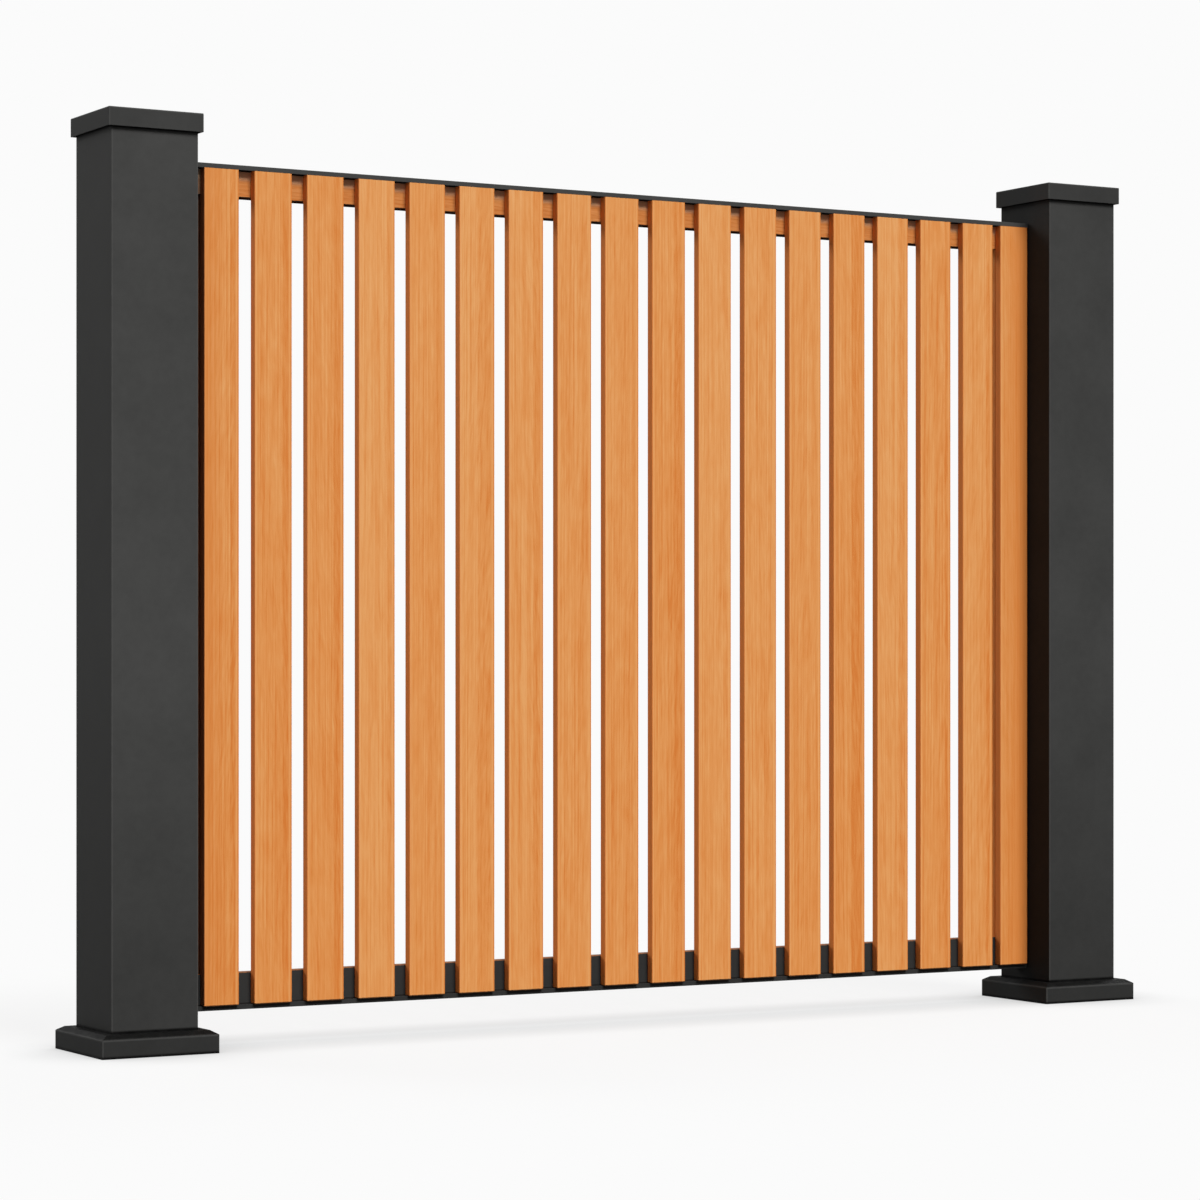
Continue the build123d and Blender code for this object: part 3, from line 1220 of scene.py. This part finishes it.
@dataclass
class FixingScrews:
    """Hexagon screws with pressed washers that hold the slats and cleats from behind."""

    head_radius: float = 4.6 * MM
    head_height: float = 3.2 * MM
    washer_radius: float = 6.0 * MM
    washer_height: float = 1.1 * MM
    chamfer: float = 0.6 * MM
    crown_step: float = 0.02 * MM
    slat_offset: float = 17.0 * MM
    cleat_offset: float = 9.0 * MM
    cleat_wall: float = 3.0 * MM
    head_sides: int = 6
    washer_sides: int = 20
    seed: int = 5
    name: str = "fixing_screws"

    def build(self) -> None:
        """Grow all the screws as one piece."""
        places = self.slat_places() + self.cleat_places()
        host = host_object(self.name, [spot for spot, _ in places])
        facing = host.data.attributes.new("facing", "FLOAT_VECTOR", "POINT")
        for entry, (_, way) in zip(facing.data, places):
            entry.vector = way
        values = {
            "Head Radius": self.head_radius,
            "Head Height": self.head_height,
            "Washer Radius": self.washer_radius,
            "Washer Height": self.washer_height,
            "Chamfer": self.chamfer,
            "Crown Step": self.crown_step,
            "Seed": self.seed,
            "Material": CoatedSteel().make(),
        }
        self.tree(values).grow(host, values)
        settle(host)
        place_on_root(host)

    def slat_places(self) -> list[tuple[Vector, Vector]]:
        """Place two screws to each slat in the back of each rail, clear of the cleats.

        Returns:
            The seat of each screw and the way that its head faces.
        """
        left_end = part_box("left_top_cleat")[1].x + self.washer_radius
        right_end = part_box("right_top_cleat")[0].x - self.washer_radius
        places = []
        for level in LEVELS:
            low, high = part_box(f"{level}_rail")
            height = (low.z + high.z) / 2
            for slat in SLATS:
                slat_low, slat_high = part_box(slat)
                middle = (slat_low.x + slat_high.x) / 2
                for x in (middle - self.slat_offset, middle + self.slat_offset):
                    if left_end < x < right_end:
                        places.append((Vector((x, high.y, height)), BACKWARDS))
        return places

    def cleat_places(self) -> list[tuple[Vector, Vector]]:
        """Place two screws in each leg of each cleat.

        Returns:
            The seat of each screw and the way that its head faces.
        """
        wall = self.cleat_wall
        places = []
        for side, inward in zip(SIDES, (1.0, -1.0)):
            for level in LEVELS:
                low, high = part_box(f"{side}_{level}_cleat")
                post_face = low.x if inward > 0 else high.x
                middle = (low + high) / 2
                for lift in (-self.cleat_offset, self.cleat_offset):
                    height = middle.z + lift
                    on_rail = Vector((middle.x + inward * wall / 2, low.y + wall, height))
                    on_post = Vector((post_face + inward * wall, middle.y + wall / 2, height))
                    places.append((on_rail, BACKWARDS))
                    places.append((on_post, Vector((inward, 0.0, 0.0))))
        return places

    def tree(self, values: dict[str, Any]) -> GrowTree:
        """Make the tree that sets a screw head on each point, turned at random about its axis.

        Args:
            values: the values of its inputs.

        Returns:
            The tree.
        """
        tree = GrowTree("screw_heads", values)
        facing = tree.node(
            "GeometryNodeInputNamedAttribute", {"data_type": "FLOAT_VECTOR"}, {"Name": "facing"}
        )
        aimed = tree.node(
            "FunctionNodeAlignRotationToVector", {"axis": "Z"}, {"Vector": facing.outputs[0]}
        )
        placed = tree.node(
            "GeometryNodeInstanceOnPoints",
            None,
            {
                "Points": tree.inputs["Geometry"],
                "Instance": self.head(tree),
                "Rotation": aimed.outputs[0],
            },
        )
        turn = tree.node(
            "FunctionNodeRandomValue",
            {"data_type": "FLOAT"},
            {DRAW_LEAST: 0.0, DRAW_MOST: math.tau / self.head_sides, "Seed": tree.size("Seed")},
        )
        spin = tree.vector(0.0, 0.0, Signal(tree, turn.outputs[DRAW_RESULT]))
        turned = tree.node(
            "GeometryNodeRotateInstances", None, {"Instances": placed.outputs[0], "Rotation": spin}
        )
        tree.close(turned.outputs[0])
        return tree

    def head(self, tree: GrowTree) -> bpy.types.NodeSocket:
        """Make one screw head on the origin: a dished washer, a hexagon and its chamfered crown.

        Args:
            tree: the tree to build it in.

        Returns:
            The head's geometry.
        """
        washer, radius = tree.size("Washer Radius"), tree.size("Head Radius")
        rise, height = tree.size("Washer Height"), tree.size("Head Height")
        chamfer = tree.size("Chamfer")
        rounds = (
            (self.washer_sides, washer, washer - chamfer, rise, 0.0),
            (self.head_sides, radius, radius, height, rise),
            (self.head_sides, radius - tree.size("Crown Step"), radius - chamfer, chamfer, rise + height),
        )
        parts = []
        for corners, lower, upper, tall, foot in rounds:
            sockets = {"Vertices": corners, "Radius Bottom": lower, "Radius Top": upper, "Depth": tall}
            round_part = tree.node("GeometryNodeMeshCone", None, sockets)
            lifted = tree.node(
                "GeometryNodeTransform",
                None,
                {"Geometry": round_part.outputs["Mesh"], "Translation": tree.vector(0.0, 0.0, foot)},
            )
            parts.append(lifted.outputs[0])
        return tree.node("GeometryNodeJoinGeometry", None, {0: parts}).outputs[0]


@dataclass
class PostSet:
    """Both posts with their caps, skirts and foot plates. Lengths are in millimetres."""

    cap_height: float = 30.0
    skirt_side: float = 30.0
    seam: float = 2.0
    # Painted shade: share by which posts and caps darken from the left post to the right one.
    drift: float = 0.13
    cap_level: float = 0.046
    # Painted shade: levels that the post and skirt coats darken to at the ground.
    post_foot_level: float = 0.038
    skirt_foot_level: float = 0.029
    # Painted shade on the posts' faces towards the panel, and over the skirts' shoulders.
    post_inner: float = 0.5
    skirt_shade_over_top: float = 0.92

    def build(self) -> None:
        """Dress the pieces of both posts."""
        spacing = self.spacing()
        half_post = self.half_width("left_post")
        skirt_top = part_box("left_skirt")[1].z / MM
        cap_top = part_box("left_cap")[1].z / MM
        cap_edge = cap_top - self.cap_height
        finishes = {
            "post": AnthraciteCoat(
                "anthracite_post",
                spacing,
                foot_level=self.post_foot_level,
                half_width=half_post,
                # Painted shade above the skirt, under the cap and on faces towards the panel.
                shade_height=skirt_top + self.seam,
                shade_top=cap_edge,
                inner=self.post_inner,
                drift=self.drift,
            ).make(),
            "cap": AnthraciteCoat(
                "anthracite_cap",
                spacing,
                level=self.cap_level,
                half_width=self.half_width("left_cap"),
                crests=(cap_top,),
                drift=self.drift,
            ).make(),
            "skirt": AnthraciteCoat(
                "anthracite_skirt",
                spacing,
                foot_level=self.skirt_foot_level,
                half_width=self.half_width("left_skirt"),
                crests=(self.skirt_side,),
                # Painted shade at the ground, by the post and over the shoulder.
                shade_height=self.seam,
                shade_top=self.skirt_side + self.seam,
                shade_width=half_post + self.seam,
                shade_over_top=self.skirt_shade_over_top,
            ).make(),
            "foot_plate": MillAluminium().make(),
        }
        for side in SIDES:
            for part, finish in finishes.items():
                dress(f"{side}_{part}", finish)

    def spacing(self) -> float:
        """Distance between the posts' axes, in millimetres."""
        low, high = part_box("right_post")
        return (low.x + high.x) / 2 / MM

    def half_width(self, node: str) -> float:
        """Half the width of a square piece, in millimetres."""
        low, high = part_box(node)
        return (high.x - low.x) / 2 / MM


@dataclass
class PanelFrame:
    """Rails and uprights behind the slats, with the coping, sill and cleats.

    Each painted band, of shade or of light, is measured from its own edge. Lengths are in
    millimetres, apart from slip and weld.
    """

    post_spacing: float
    rail_wall: float = 2.0
    # Painted shade: the rails' print is darker than the slats', for the shade behind the slats.
    rail_pale: Colour = (0.64, 0.285, 0.102, 1.0)
    rail_middle: Colour = (0.57, 0.222, 0.065, 1.0)
    rail_deep: Colour = (0.49, 0.155, 0.034, 1.0)
    rail_seed: float = 0.23
    upright_seed: float = 0.71
    # Painted light: pale band on the top rail's face under the coping, lifting its shadow.
    coping_shadow_lift: PaintedBand = PaintedBand(-9.0, 0.0, 0.6, (0.80, 0.52, 0.33, 1.0), fade=10.0)
    # Painted shade: near-black along the top rail's underside.
    rail_underside_shade: PaintedBand = PaintedBand(-1.0, 1.1, 0.95, NEAR_BLACK)
    # Painted shade: dark brown along the bottom rail's top edge.
    ledge_shade: PaintedBand = PaintedBand(-0.8, 1.0, 0.8, (0.110, 0.040, 0.012, 1.0))
    # Painted shade: near-black at the root of the sill's shelf, under the slats' feet.
    shelf_root_shade: PaintedBand = PaintedBand(0.3, 1.4, 0.85, NEAR_BLACK)
    # Painted shade: level that the trim darkens to at the ground.
    trim_foot_level: float = 0.030
    sill_height: float = 8.0
    slot_reach: float = 10.0
    slip: float = 0.3 * MM
    weld: float = 0.01 * MM

    def build(self) -> None:
        """Dress every piece of the frame."""
        rail_low, rail_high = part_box("top_rail")
        hollow = (rail_low.y / MM + self.rail_wall, rail_high.y / MM - self.rail_wall)
        rail_front = rail_low.y / MM
        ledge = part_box("bottom_rail")[1].z / MM
        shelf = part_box("sill")[0].z / MM + self.sill_height
        # Painted light under the coping, on the rail's front only.
        under_coping = replace(self.coping_shadow_lift.from_height(rail_high.z / MM), back=rail_front)
        slot_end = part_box(SLATS[0])[0].x / MM + self.slot_reach
        top_rail = WoodLookCoat(
            "wood_look_top_rail",
            GrainRun.RAIL,
            self.rail_seed,
            pale=self.rail_pale,
            middle=self.rail_middle,
            deep=self.rail_deep,
            # Painted shade: near-black inside the channel, and dark in the slot beside the left post.
            hollow=hollow,
            slot_shade=(slot_end, rail_front),
            bands=(under_coping, self.rail_underside_shade.from_height(rail_low.z / MM)),
        )
        bottom_rail = replace(
            top_rail,
            name="wood_look_bottom_rail",
            hollow=None,
            bands=(self.ledge_shade.from_height(ledge),),
        )
        dress("top_rail", top_rail.make())
        dress("bottom_rail", bottom_rail.make())
        upright = WoodLookCoat(
            "wood_look_uprights",
            GrainRun.UPRIGHT,
            self.upright_seed,
            # Painted shade: dark in the slot beside the left post.
            slot_shade=(slot_end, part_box("left_upright")[0].y / MM),
        ).make()
        trim = AnthraciteCoat("anthracite_trim", self.post_spacing, foot_level=self.trim_foot_level)
        trim_coat = trim.make()
        for side in SIDES:
            dress(f"{side}_upright", upright)
            for level in LEVELS:
                dress(f"{side}_{level}_cleat", trim_coat)
        dress("coping", trim_coat)
        sill = replace(trim, name="anthracite_sill", bands=(self.shelf_root_shade.from_height(shelf),))
        dress("sill", sill.make())
        self.close_last_gap(upright)

    def close_last_gap(self, finish: bpy.types.Material) -> None:
        """Draw the right upright out to the last slat's back, flush with that slat's left side.

        Args:
            finish: the upright's material.
        """
        low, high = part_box("right_upright")
        slat_low, slat_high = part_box(SLATS[-1])
        shift = (slat_low.x - low.x, slat_high.y + self.slip - low.y)
        shell = bmesh.new()
        shell.from_mesh(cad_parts["right_upright"].data)
        bmesh.ops.remove_doubles(shell, verts=shell.verts, dist=self.weld)
        for vertex in shell.verts:
            for axis, distance in enumerate(shift):
                if vertex.co[axis] < (low[axis] + high[axis]) / 2:
                    vertex.co[axis] += distance
        piece = host_object("last_upright")
        shell.to_mesh(piece.data)
        shell.free()
        piece.data.materials.append(finish)
        place_on_root(piece)
        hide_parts("right_upright")


@dataclass(frozen=True)
class SoftLamp:
    """Far-off soft lamp, so that its light is even over the whole panel.

    turn goes from the front to the right and height from level to overhead, spread is how wide
    the lamp looks, all in degrees. A white surface that faces it shows its level.
    """

    name: str
    level: float
    turn: float
    height: float
    spread: float = 26.0

    def hang(self) -> None:
        """Add the lamp to the scene."""
        turn, height = math.radians(self.turn), math.radians(self.height)
        way = Vector((
            math.sin(turn) * math.cos(height),
            -math.cos(turn) * math.cos(height),
            math.sin(height),
        ))
        lamp = bpy.data.lights.new(self.name, "SUN")
        lamp.energy = self.level * math.pi
        lamp.angle = math.radians(self.spread)
        hung = bpy.data.objects.new(self.name, lamp)
        hung.rotation_euler = way.to_track_quat("Z", "Y").to_euler()
        bpy.context.scene.collection.objects.link(hung)

    def on_floor(self) -> float:
        """Level that a white floor shows under this lamp."""
        return self.level * math.sin(math.radians(self.height))


@dataclass
class Studio:
    """White floor and surroundings, a soft lamp in front, two weaker ones, and the camera.

    Lengths are in metres, apart from shadow_fade, which is in millimetres like all finishes: from
    the first of these distances to the second the shadow on the floor fades away.
    """

    white: float = 0.965
    ambient: float = 0.21
    floor_reach: float = 60.0
    floor_bounce: float = 0.12
    shadow_share: float = 0.08
    shadow_fade: tuple[float, float] = (500.0, 1500.0)
    contact_share: float = 0.60
    contact_reach: float = 0.16
    contact_samples: int = 16
    lamps: tuple[SoftLamp, ...] = (
        SoftLamp("front_lamp", level=1.19, turn=7.0, height=44.0),
        SoftLamp("back_lamp", level=0.46, turn=-155.0, height=30.0),
        SoftLamp("side_lamp", level=0.36, turn=115.0, height=30.0),
    )
    camera_place: tuple[float, float, float] = (-2.2877, -5.4584, 0.6340)
    camera_turn: float = 30.007
    camera_lens: float = 108.944
    camera_shift: float = 0.0488

    def build(self) -> None:
        """Set up the floor, the light and the camera."""
        self.build_floor()
        self.build_world()
        for lamp in self.lamps:
            lamp.hang()
        self.build_camera()
        bpy.context.scene.view_settings.view_transform = "Standard"

    def seen(self, sheet: NodeSheet) -> Signal:
        """Tell what is looked at from the light that falls on the panel.

        Args:
            sheet: the floor's or the world's tree.

        Returns:
            1 for rays from the camera and from reflections, and 0 for all others.
        """
        path = sheet.node("ShaderNodeLightPath").outputs
        camera, glossy = (Signal(sheet, path[f"Is {kind} Ray"]) for kind in ("Camera", "Glossy"))
        return sheet.math("MAXIMUM", camera, glossy)

    def build_floor(self) -> None:
        """Lay a pale floor that shows the panel's shadow near it and plain white further off."""
        reach = self.floor_reach
        mesh = bpy.data.meshes.new("floor")
        corners = [(-reach, -reach, 0.0), (reach, -reach, 0.0), (reach, reach, 0.0), (-reach, reach, 0.0)]
        mesh.from_pydata(corners, [], [(0, 1, 2, 3)])
        floor = bpy.data.objects.new("floor", mesh)
        bpy.context.scene.collection.objects.link(floor)
        mesh.materials.append(self.floor_finish())
        floor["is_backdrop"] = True
        LOG.info("floor: stage")

    def floor_finish(self) -> bpy.types.Material:
        """White floor with a light cast shadow, and a darker painted contact shadow where the panel stands.

        Returns:
            The floor's material.
        """
        low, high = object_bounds()
        middle = (low + high) / 2 / MM
        sheet = FinishSheet("studio_floor")
        away_x = sheet.math("MAXIMUM", abs(sheet.x - middle.x) - (high.x - low.x) / 2 / MM, 0.0)
        away = sheet.math("SQRT", away_x * away_x + sheet.y * sheet.y)
        plain = sheet.node("ShaderNodeEmission", None, {"Color": grey(self.white)}).outputs[0]
        lit = sheet.node("ShaderNodeBsdfDiffuse", None, {"Color": grey(self.shadow_share)}).outputs[0]
        light = self.ambient + sum(lamp.on_floor() for lamp in self.lamps)
        # Painted shadow: an occlusion test darkens the floor's glow near the panel.
        open_sky = sheet.node(
            "ShaderNodeAmbientOcclusion",
            {"samples": self.contact_samples},
            {"Distance": self.contact_reach},
        )
        contact = self.contact_share * (1 - Signal(sheet, open_sky.outputs["AO"]))
        shade = sheet.blend(contact, grey(self.white - self.shadow_share * light), grey(0.0))
        glow = sheet.node("ShaderNodeEmission", None, {"Color": shade}).outputs[0]
        catching = sheet.node("ShaderNodeAddShader", None, {0: lit, 1: glow}).outputs[0]
        shown = sheet.node(
            "ShaderNodeMixShader", None, {0: away.above(*self.shadow_fade), 1: catching, 2: plain}
        ).outputs[0]
        bounce = sheet.node("ShaderNodeBsdfDiffuse", None, {"Color": grey(self.floor_bounce)}).outputs[0]
        both = sheet.node("ShaderNodeMixShader", None, {0: self.seen(sheet), 1: bounce, 2: shown}).outputs[0]
        sheet.node("ShaderNodeOutputMaterial", None, {"Surface": both})
        return sheet.material

    def build_world(self) -> None:
        """White surroundings that light the panel softly from all sides."""
        world = bpy.data.worlds.new("studio")
        bpy.context.scene.world = world
        world.use_nodes = True
        sheet = NodeSheet(world.node_tree)
        light = sheet.node("ShaderNodeBackground", None, {"Color": grey(self.ambient)}).outputs[0]
        backdrop = sheet.node("ShaderNodeBackground", None, {"Color": grey(self.white)}).outputs[0]
        sockets = {0: self.seen(sheet), 1: light, 2: backdrop}
        both = sheet.node("ShaderNodeMixShader", None, sockets).outputs[0]
        sheet.node("ShaderNodeOutputWorld", None, {"Surface": both})

    def build_camera(self) -> None:
        """Stand the camera where the photograph was taken, level and with a little rise."""
        lens = bpy.data.cameras.new("camera")
        lens.lens = self.camera_lens
        lens.shift_y = self.camera_shift
        camera = bpy.data.objects.new("camera", lens)
        camera.location = self.camera_place
        camera.rotation_euler = (math.pi / 2, 0.0, -math.radians(self.camera_turn))
        bpy.context.scene.collection.objects.link(camera)
        bpy.context.scene.camera = camera


def main() -> None:
    """Build and dress each sub-assembly in order, then set up the studio."""
    logging.basicConfig(level=logging.INFO, format="%(message)s")
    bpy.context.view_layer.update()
    posts = PostSet()
    posts.build()
    PanelFrame(posts.spacing()).build()
    SlatSet().build()
    FixingScrews().build()
    Studio().build()


if __name__ == "__main__":
    main()
